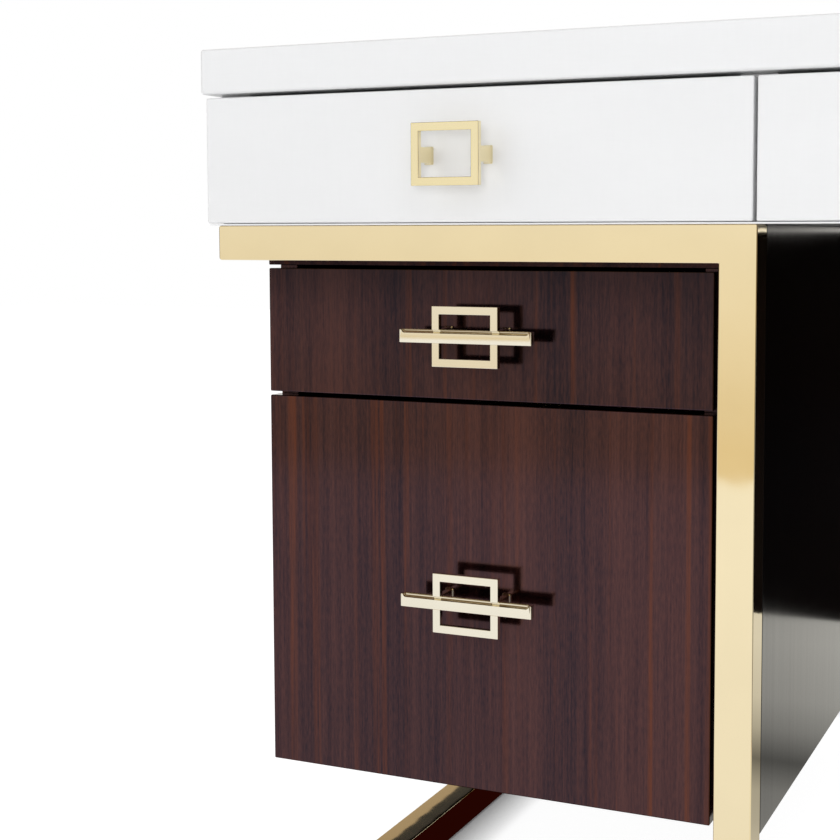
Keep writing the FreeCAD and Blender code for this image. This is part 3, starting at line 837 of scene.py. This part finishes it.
# Shares of the way along a runner, across a box's front board and up it where the screws are
RUNNER_SCREWS = (0.08, 0.5, 0.92)
BOARD_SCREWS_ACROSS = (0.12, 0.88)
BOARD_SCREWS_UP = (0.42, 0.80)


def head_mesh(name, radius, height, recess=False):
    """A low domed disc that faces +Z, with a recess in its middle when it is a screw's head."""
    shape = bmesh.new()
    turns = [2 * math.pi * k / DOME_SIDES for k in range(DOME_SIDES)]
    rows = [[shape.verts.new((radius * share * math.cos(turn), radius * share * math.sin(turn),
                              height * lift)) for turn in turns] for share, lift in DOME]
    middle = shape.verts.new((0, 0, height * RECESS_FLOOR if recess else height))
    for k in range(DOME_SIDES):
        after = (k + 1) % DOME_SIDES
        for lower, upper in zip(rows, rows[1:]):
            shape.faces.new((lower[k], lower[after], upper[after], upper[k]))
        shape.faces.new((rows[-1][k], rows[-1][after], middle))
    shape.faces.new(rows[0][::-1])
    mesh = bpy.data.meshes.new(name)
    shape.to_mesh(mesh)
    shape.free()
    smooth(mesh)
    mesh.set_sharp_from_angle(angle=math.radians(50))
    return linked(name, mesh)


def repeat_tree(name):
    """Geometry Nodes that set one small piece on every point, turned the way the points say."""
    group = bpy.data.node_groups.new(name, "GeometryNodeTree")
    for label, kind in (("Geometry", "Geometry"), ("Piece", "Object"), ("Finish", "Material")):
        group.interface.new_socket(label, in_out="INPUT", socket_type="NodeSocket" + kind)
    group.interface.new_socket("Geometry", in_out="OUTPUT", socket_type="NodeSocketGeometry")
    n = Tree(group)
    entry = n.add("NodeGroupInput")
    piece = n.add("GeometryNodeObjectInfo", {"Object": entry.outputs["Piece"]})
    turn = n.add("GeometryNodeInputNamedAttribute", {"Name": "turn"}, data_type="FLOAT_VECTOR")
    spread = n.add("GeometryNodeInstanceOnPoints", {
        "Points": entry.outputs["Geometry"], "Instance": piece.outputs["Geometry"],
        "Rotation": turn.outputs["Attribute"]})
    real = n.add("GeometryNodeRealizeInstances", {"Geometry": spread.outputs["Instances"]})
    paint = n.add("GeometryNodeSetMaterial", {
        "Geometry": real.outputs["Geometry"], "Material": entry.outputs["Finish"]})
    n.add("NodeGroupOutput", {"Geometry": paint.outputs["Geometry"]})
    return group


def repeat(name, piece, spots, material, body):
    """Set a small piece on every spot, given as a place and the way it faces."""
    group = bpy.data.node_groups.get("Small pieces") or repeat_tree("Small pieces")
    obj = mesh_object(name, [place for place, facing in spots], [])
    turn = obj.data.attributes.new("turn", "FLOAT_VECTOR", "POINT")
    for number, (place, facing) in enumerate(spots):
        turn.data[number].vector = Vector(facing).to_track_quat("Z", "Y").to_euler()
    modifier = obj.modifiers.new("Repeat", "NODES")
    modifier.node_group = group
    keys = {item.name: item.identifier for item in group.interface.items_tree
            if item.in_out == "INPUT"}
    modifier[keys["Piece"]] = piece
    modifier[keys["Finish"]] = material
    settle(obj)
    dress(obj, material, body)


def screw_spots(drawer, sizes):
    """The screws in a drawer's runners and on the inside of its box's front board."""
    low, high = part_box(drawer + "_box")
    runner_low, runner_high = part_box(drawer + "_runners")
    middle_z = (runner_low.z + runner_high.z) / 2
    spots = []
    for share in RUNNER_SCREWS:
        y = runner_low.y + (runner_high.y - runner_low.y) * share
        spots.append(((low.x - sizes.runner_web, y, middle_z), (-1, 0, 0)))
        spots.append(((high.x + sizes.runner_web, y, middle_z), (1, 0, 0)))
    for across in BOARD_SCREWS_ACROSS:
        x = low.x + (high.x - low.x) * across
        for up in BOARD_SCREWS_UP:
            z = low.z + (high.z - low.z) * up
            spots.append(((x, low.y + sizes.box_board, z), (0, 1, 0)))
    return spots


def bumper_spots(drawer, sizes):
    """The bumpers in the corners behind a drawer's front."""
    low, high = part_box(drawer + "_front")
    return [((x, high.y, z), (0, 1, 0))
            for x in (low.x + sizes.bumper_side, high.x - sizes.bumper_side)
            for z in (low.z + sizes.bumper_edge, high.z - sizes.bumper_edge)]


def cap_spots(side, sizes):
    """The caps in the access holes under a frame's top bars."""
    low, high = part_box(side + "_frame")
    outer, knee, inward = frame_ends(side)
    t, inset = sizes.tube, sizes.cap_inset
    side_bar, back_bar = outer + inward * t / 2, high.y - t / 2
    places = ((side_bar, low.y + t + inset), (side_bar, high.y - t - inset),
              (outer + inward * (t + inset), back_bar), (knee - inward * (t + inset), back_bar))
    return [((x, y, high.z - t), (0, 0, -1)) for x, y in places]


class DESK_OT_fasteners(bpy.types.Operator):
    """Make the drawers' screws and bumpers and the caps under the frames"""

    bl_idname = "desk.fasteners"
    bl_label = "Screws, bumpers and caps"

    def execute(self, context):
        sizes = context.scene.desk_sizes
        steel, nylon = finishes()["runner_steel"], finishes()["glide_plastic"]
        screw = head_mesh("screw head", sizes.screw_head, sizes.screw_high, recess=True)
        bumper = head_mesh("bumper", sizes.bumper_radius, sizes.bumper_high)
        cap = head_mesh("cap", sizes.cap_radius, sizes.cap_high)
        for drawer in DRAWERS:
            body = body_of(drawer + "_box")
            repeat(drawer + "_screws", screw, screw_spots(drawer, sizes), steel, body)
            repeat(drawer + "_bumpers", bumper, bumper_spots(drawer, sizes), nylon, body)
        caps = [spot for side in SIDES for spot in cap_spots(side, sizes)]
        repeat("frame_caps", cap, caps, nylon, "desk")
        for pattern in (screw, bumper, cap):
            bpy.data.objects.remove(pattern)
        return {"FINISHED"}


# ---------------------------------------------------------------- carried over pieces

# Pieces whose finish isn't the one of their slot, by the end of their name
OWN_FINISH = {
    "_outer_side": "side_veneer", "_pedestal_back": "side_veneer",
    "_pedestal_top": "deep_veneer", "_pedestal_bottom": "underside",
    "modesty_panel": "modesty_veneer", "_gable": "gable_veneer",
    "_small_drawer_front": "small_veneer",
}


class DESK_OT_finish(bpy.types.Operator):
    """Give every carried over piece its finish"""

    bl_idname = "desk.finish"
    bl_label = "Finishes"

    def execute(self, context):
        for name, obj in frame["nodes"].items():
            finish = SLOTS[name]
            for ending, own in OWN_FINISH.items():
                if name.endswith(ending):
                    finish = own
            for slot in obj.material_slots:
                slot.material = finishes()[finish]
        return {"FINISHED"}


# ---------------------------------------------------------------- stage

# The floor's front edge runs at a slant, where the polished leg mirrors it
FLOOR_CORNERS = ((-8.0, -1.16, 0.0), (8.0, -4.77, 0.0), (9.0, 9.0, 0.0), (-9.0, 9.0, 0.0))
# The floor is white where nothing is near it this way, up to the desk's left; where something is, a
# painted shadow darkens its glow
FREE_WAY = {"X": -0.75, "Y": 0.0, "Z": 0.66}
# Soft edges of the painted shade zones on the mirrored floor, each from its start to its full strength
PEDESTAL_KNEE_EDGE = (0.25, 0.29)
PEDESTAL_OUTER_EDGE = (0.78, 0.72)
PEDESTAL_END_EDGE = (0.44, 0.34)
KNEEHOLE_SIDE_EDGE = (0.29, 0.25)
KNEEHOLE_END_EDGE = (0.95, 0.85)
# Painted shade of the kneehole's mirrored floor: its brightness over shares of the way from front to
# back
KNEEHOLE_SPAN = (-0.40, 0.80)
KNEEHOLE_SHADE = ((0.05, 0.90), (0.30, 0.45), (0.37, 0.41), (0.45, 0.16), (0.54, 0.44), (0.64, 0.62),
                  (0.87, 0.74))
# Painted tints of the mirrored floor's shade in the kneehole and under the pedestals; the reddish one
# stands in for light thrown off the dark red wood
KNEEHOLE_SHADE_TINT = (1.0, 0.975, 0.89)
PEDESTAL_SHADE_TINT = (1.0, 0.10, 0.05)
# Colours of the mirrored room, over shares of the way up
ROOM_SPAN = (-0.25, 0.25)
ROOM_COLOURS = ((0.0, (0.80, 0.66, 0.42)), (0.18, (0.82, 0.69, 0.46)), (0.42, (0.93, 0.88, 0.78)),
                (0.60, (0.97, 0.96, 0.93)))
ROOM_DARK_TINT = (1.0, 0.70, 0.36)
# Softboxes by the name of their power: place, what they point at and size
LAMPS = {
    "key_light": ((1.1, -2.7, 2.9), (-0.35, -0.3, 0.4), 2.0),
    "front_light": ((0.6, -3.4, 0.85), (-0.3, -0.3, 0.5), 1.3),
    "top_light": ((0.1, 0.3, 2.7), (0.0, 0.1, 0.7), 2.0),
    "rear_light": ((-1.2, 3.4, 1.9), (0.0, 0.3, 0.5), 2.0),
    "fill_light": ((-2.6, -2.4, 1.8), (-0.2, 0.0, 0.4), 1.8),
}
SENSOR_WIDTH = 36.0
CLIP = (0.05, 60.0)


def stage_lamp(name, place, target, size, power):
    """A square softbox that polished pieces don't mirror."""
    data = bpy.data.lights.new(name, "AREA")
    data.shape = "RECTANGLE"
    data.size = data.size_y = size
    data.energy = power
    lamp = linked(name, data)
    lamp.location = place
    lamp.rotation_euler = (Vector(target) - Vector(place)).to_track_quat("-Z", "Y").to_euler()
    lamp.visible_glossy = False


def floor_seen(n):
    """What the camera sees of the floor: white, with a painted soft shadow of the desk where the floor
    is closed in, and a faint lit diffuse on top.
    """
    way = n.add("ShaderNodeCombineXYZ", FREE_WAY)
    free = n.openness(way.outputs["Vector"], distance=0.045, samples=16)
    # Painted shadow: the glow darkens where something stands near
    shade = n.ramp(free, (0.10, 0.0), (0.50, 0.45), (0.95, 0.95))
    white = n.add("ShaderNodeEmission", {"Color": shade, "Strength": 1.0})
    lit = n.add("ShaderNodeBsdfDiffuse", {"Color": (0.30, 0.30, 0.30, 1)})
    return n.add("ShaderNodeAddShader", {0: white.outputs[0], 1: lit.outputs[0]}).outputs[0]


def floor_mirrored(n):
    """What polished pieces mirror of the floor: bright all round, with painted shade under the desk,
    dark there and tinted reddish as if lit by light off the wood.
    """
    where = n.add("ShaderNodeSeparateXYZ", {"Vector": n.place()})
    x, y = where.outputs["X"], where.outputs["Y"]
    side, deep = n.math("ABSOLUTE", x), n.math("ABSOLUTE", y)
    # Painted shade: the mirrored floor is darkened under the pedestals and in the kneehole
    pedestals = n.math("MULTIPLY", n.share(side, *PEDESTAL_KNEE_EDGE),
                       n.share(side, *PEDESTAL_OUTER_EDGE), n.share(deep, *PEDESTAL_END_EDGE))
    kneehole = n.math("MULTIPLY", n.share(side, *KNEEHOLE_SIDE_EDGE),
                      n.share(deep, *KNEEHOLE_END_EDGE))
    far = n.share(deep, 0.5, 2.0, low=0.94, high=1.03)
    behind = n.share(y, 0.2, 0.5, low=1.0, high=0.8)
    leftmost = n.share(x, -1.6, -0.6, low=0.92, high=1.0)
    right_front = n.math("MULTIPLY", n.share(x, 0.1, 0.9), n.share(y, -0.4, -0.8))
    between = n.ramp(n.share(y, *KNEEHOLE_SPAN), *KNEEHOLE_SHADE)
    level = n.math("MULTIPLY", far, behind, leftmost, n.rest(pedestals, 0.98), n.rest(kneehole))
    level = n.math("ADD", level, n.math("MULTIPLY", kneehole, between))
    level = n.math("MULTIPLY", level, n.rest(right_front, 0.75))
    tint = n.mix(kneehole, (1.0, 1.0, 1.0), KNEEHOLE_SHADE_TINT)
    tint = n.mix(pedestals, tint, PEDESTAL_SHADE_TINT)
    return n.add("ShaderNodeEmission", {"Color": tint, "Strength": level}).outputs[0]


def stage_floor():
    """A white floor whose front edge shows in the polished legs."""
    floor = mesh_object("floor", FLOOR_CORNERS, [(0, 1, 2, 3)])
    n = Surface("paper floor")
    n.set(Base_Color=(0.80, 0.80, 0.80, 1), Roughness=0.9, Specular_IOR_Level=0.0)
    path = n.add("ShaderNodeLightPath")
    paper = n.shader.outputs[0]
    unseen = n.mix_shader(path.outputs["Is Glossy Ray"], paper, floor_mirrored(n))
    surface = n.mix_shader(path.outputs["Is Camera Ray"], unseen, floor_seen(n))
    n.feed(n.tree.nodes["Material Output"].inputs["Surface"], surface)
    floor.data.materials.append(n.material)


def room_mirrored(n):
    """What polished pieces mirror of the room: a warm horizon, and dark corners."""
    where = n.add("ShaderNodeTexCoord")
    split = n.add("ShaderNodeSeparateXYZ", {"Vector": where.outputs["Generated"]})
    x, y, z = (split.outputs[axis] for axis in "XYZ")
    right_front = n.math("MULTIPLY", n.share(x, 0.05, 0.45), n.share(y, 0.1, -0.3))
    overhead = n.share(z, 0.35, 0.75)
    leftmost = n.share(x, -0.72, -0.90)
    rear_left = n.math("MULTIPLY", n.share(x, 0.1, -0.3), n.share(z, 0.10, 0.25),
                       n.share(y, 0.1, 0.5), 0.65)
    dark = n.math("MAXIMUM", right_front, overhead, leftmost, rear_left)
    left = n.share(x, -0.30, -0.60)
    colour = n.ramp(n.share(z, *ROOM_SPAN), *ROOM_COLOURS)
    return n.add("ShaderNodeBackground", {
        "Color": n.mix(dark, colour, ROOM_DARK_TINT, "MULTIPLY"),
        "Strength": n.math("MULTIPLY", n.rest(dark, 0.86), n.rest(left, 0.07))}).outputs[0]


def stage_world(strength):
    """White to the camera, an even room to the desk, and a warm one in its brass."""
    world = bpy.data.worlds.new("studio")
    world.use_nodes = True
    bpy.context.scene.world = world
    n = Tree(world.node_tree)
    white = (1, 1, 1, 1)
    room = world.node_tree.nodes["Background"]
    n.feed(room.inputs["Color"], white)
    n.feed(room.inputs["Strength"], strength)
    seen = n.add("ShaderNodeBackground", {"Color": white})
    path = n.add("ShaderNodeLightPath")
    unseen = n.mix_shader(path.outputs["Is Glossy Ray"], room.outputs[0], room_mirrored(n))
    surface = n.mix_shader(path.outputs["Is Camera Ray"], unseen, seen.outputs[0])
    n.feed(world.node_tree.nodes["World Output"].inputs["Surface"], surface)


def stage_camera(studio):
    """The camera of the photograph."""
    data = bpy.data.cameras.new("camera")
    data.sensor_width = SENSOR_WIDTH
    data.lens = studio.lens
    data.shift_x = studio.shift_x
    data.shift_y = studio.shift_y
    data.clip_start, data.clip_end = CLIP
    camera = linked("camera", data)
    camera.location = studio.camera_place
    camera.rotation_euler = Euler((math.radians(90) - studio.camera_down, 0, studio.camera_left))
    bpy.context.scene.camera = camera


class DESK_OT_stage(bpy.types.Operator):
    """Make the floor, the room, the lamps and the camera"""

    bl_idname = "desk.stage"
    bl_label = "Studio"

    def execute(self, context):
        studio = context.scene.desk_studio
        stage_floor()
        stage_world(studio.world_light)
        for name, (place, target, size) in LAMPS.items():
            stage_lamp(name.replace("_", " "), place, target, size, getattr(studio, name))
        stage_camera(studio)
        context.scene.view_settings.view_transform = "Standard"
        return {"FINISHED"}


# ---------------------------------------------------------------- panel

class DESK_PT_panel(bpy.types.Panel):
    """Lists the steps that finish the desk"""

    bl_idname = "DESK_PT_panel"
    bl_label = "Pedestal desk"
    bl_space_type = "VIEW_3D"
    bl_region_type = "UI"
    bl_category = "Desk"

    def draw(self, context):
        for step in STEPS:
            self.layout.operator(step.bl_idname)
        scene = context.scene
        for group in (scene.desk_sizes, scene.desk_finish, scene.desk_studio):
            column = self.layout.column(align=True)
            for key in group.__annotations__:
                column.prop(group, key)


STEPS = (DESK_OT_finish, DESK_OT_frames, DESK_OT_pulls, DESK_OT_fasteners, DESK_OT_stage)
CLASSES = (DeskSizes, DeskFinish, DeskStudio) + STEPS + (DESK_PT_panel,)


def register():
    for item in CLASSES:
        bpy.utils.register_class(item)
    bpy.types.Scene.desk_sizes = PointerProperty(type=DeskSizes)
    bpy.types.Scene.desk_finish = PointerProperty(type=DeskFinish)
    bpy.types.Scene.desk_studio = PointerProperty(type=DeskStudio)


def unregister():
    del bpy.types.Scene.desk_sizes
    del bpy.types.Scene.desk_finish
    del bpy.types.Scene.desk_studio
    for item in reversed(CLASSES):
        bpy.utils.unregister_class(item)


def main():
    register()
    for step in STEPS:
        area, name = step.bl_idname.split(".")
        getattr(getattr(bpy.ops, area), name)()
    bpy.context.view_layer.update()


if __name__ == "__main__":
    main()
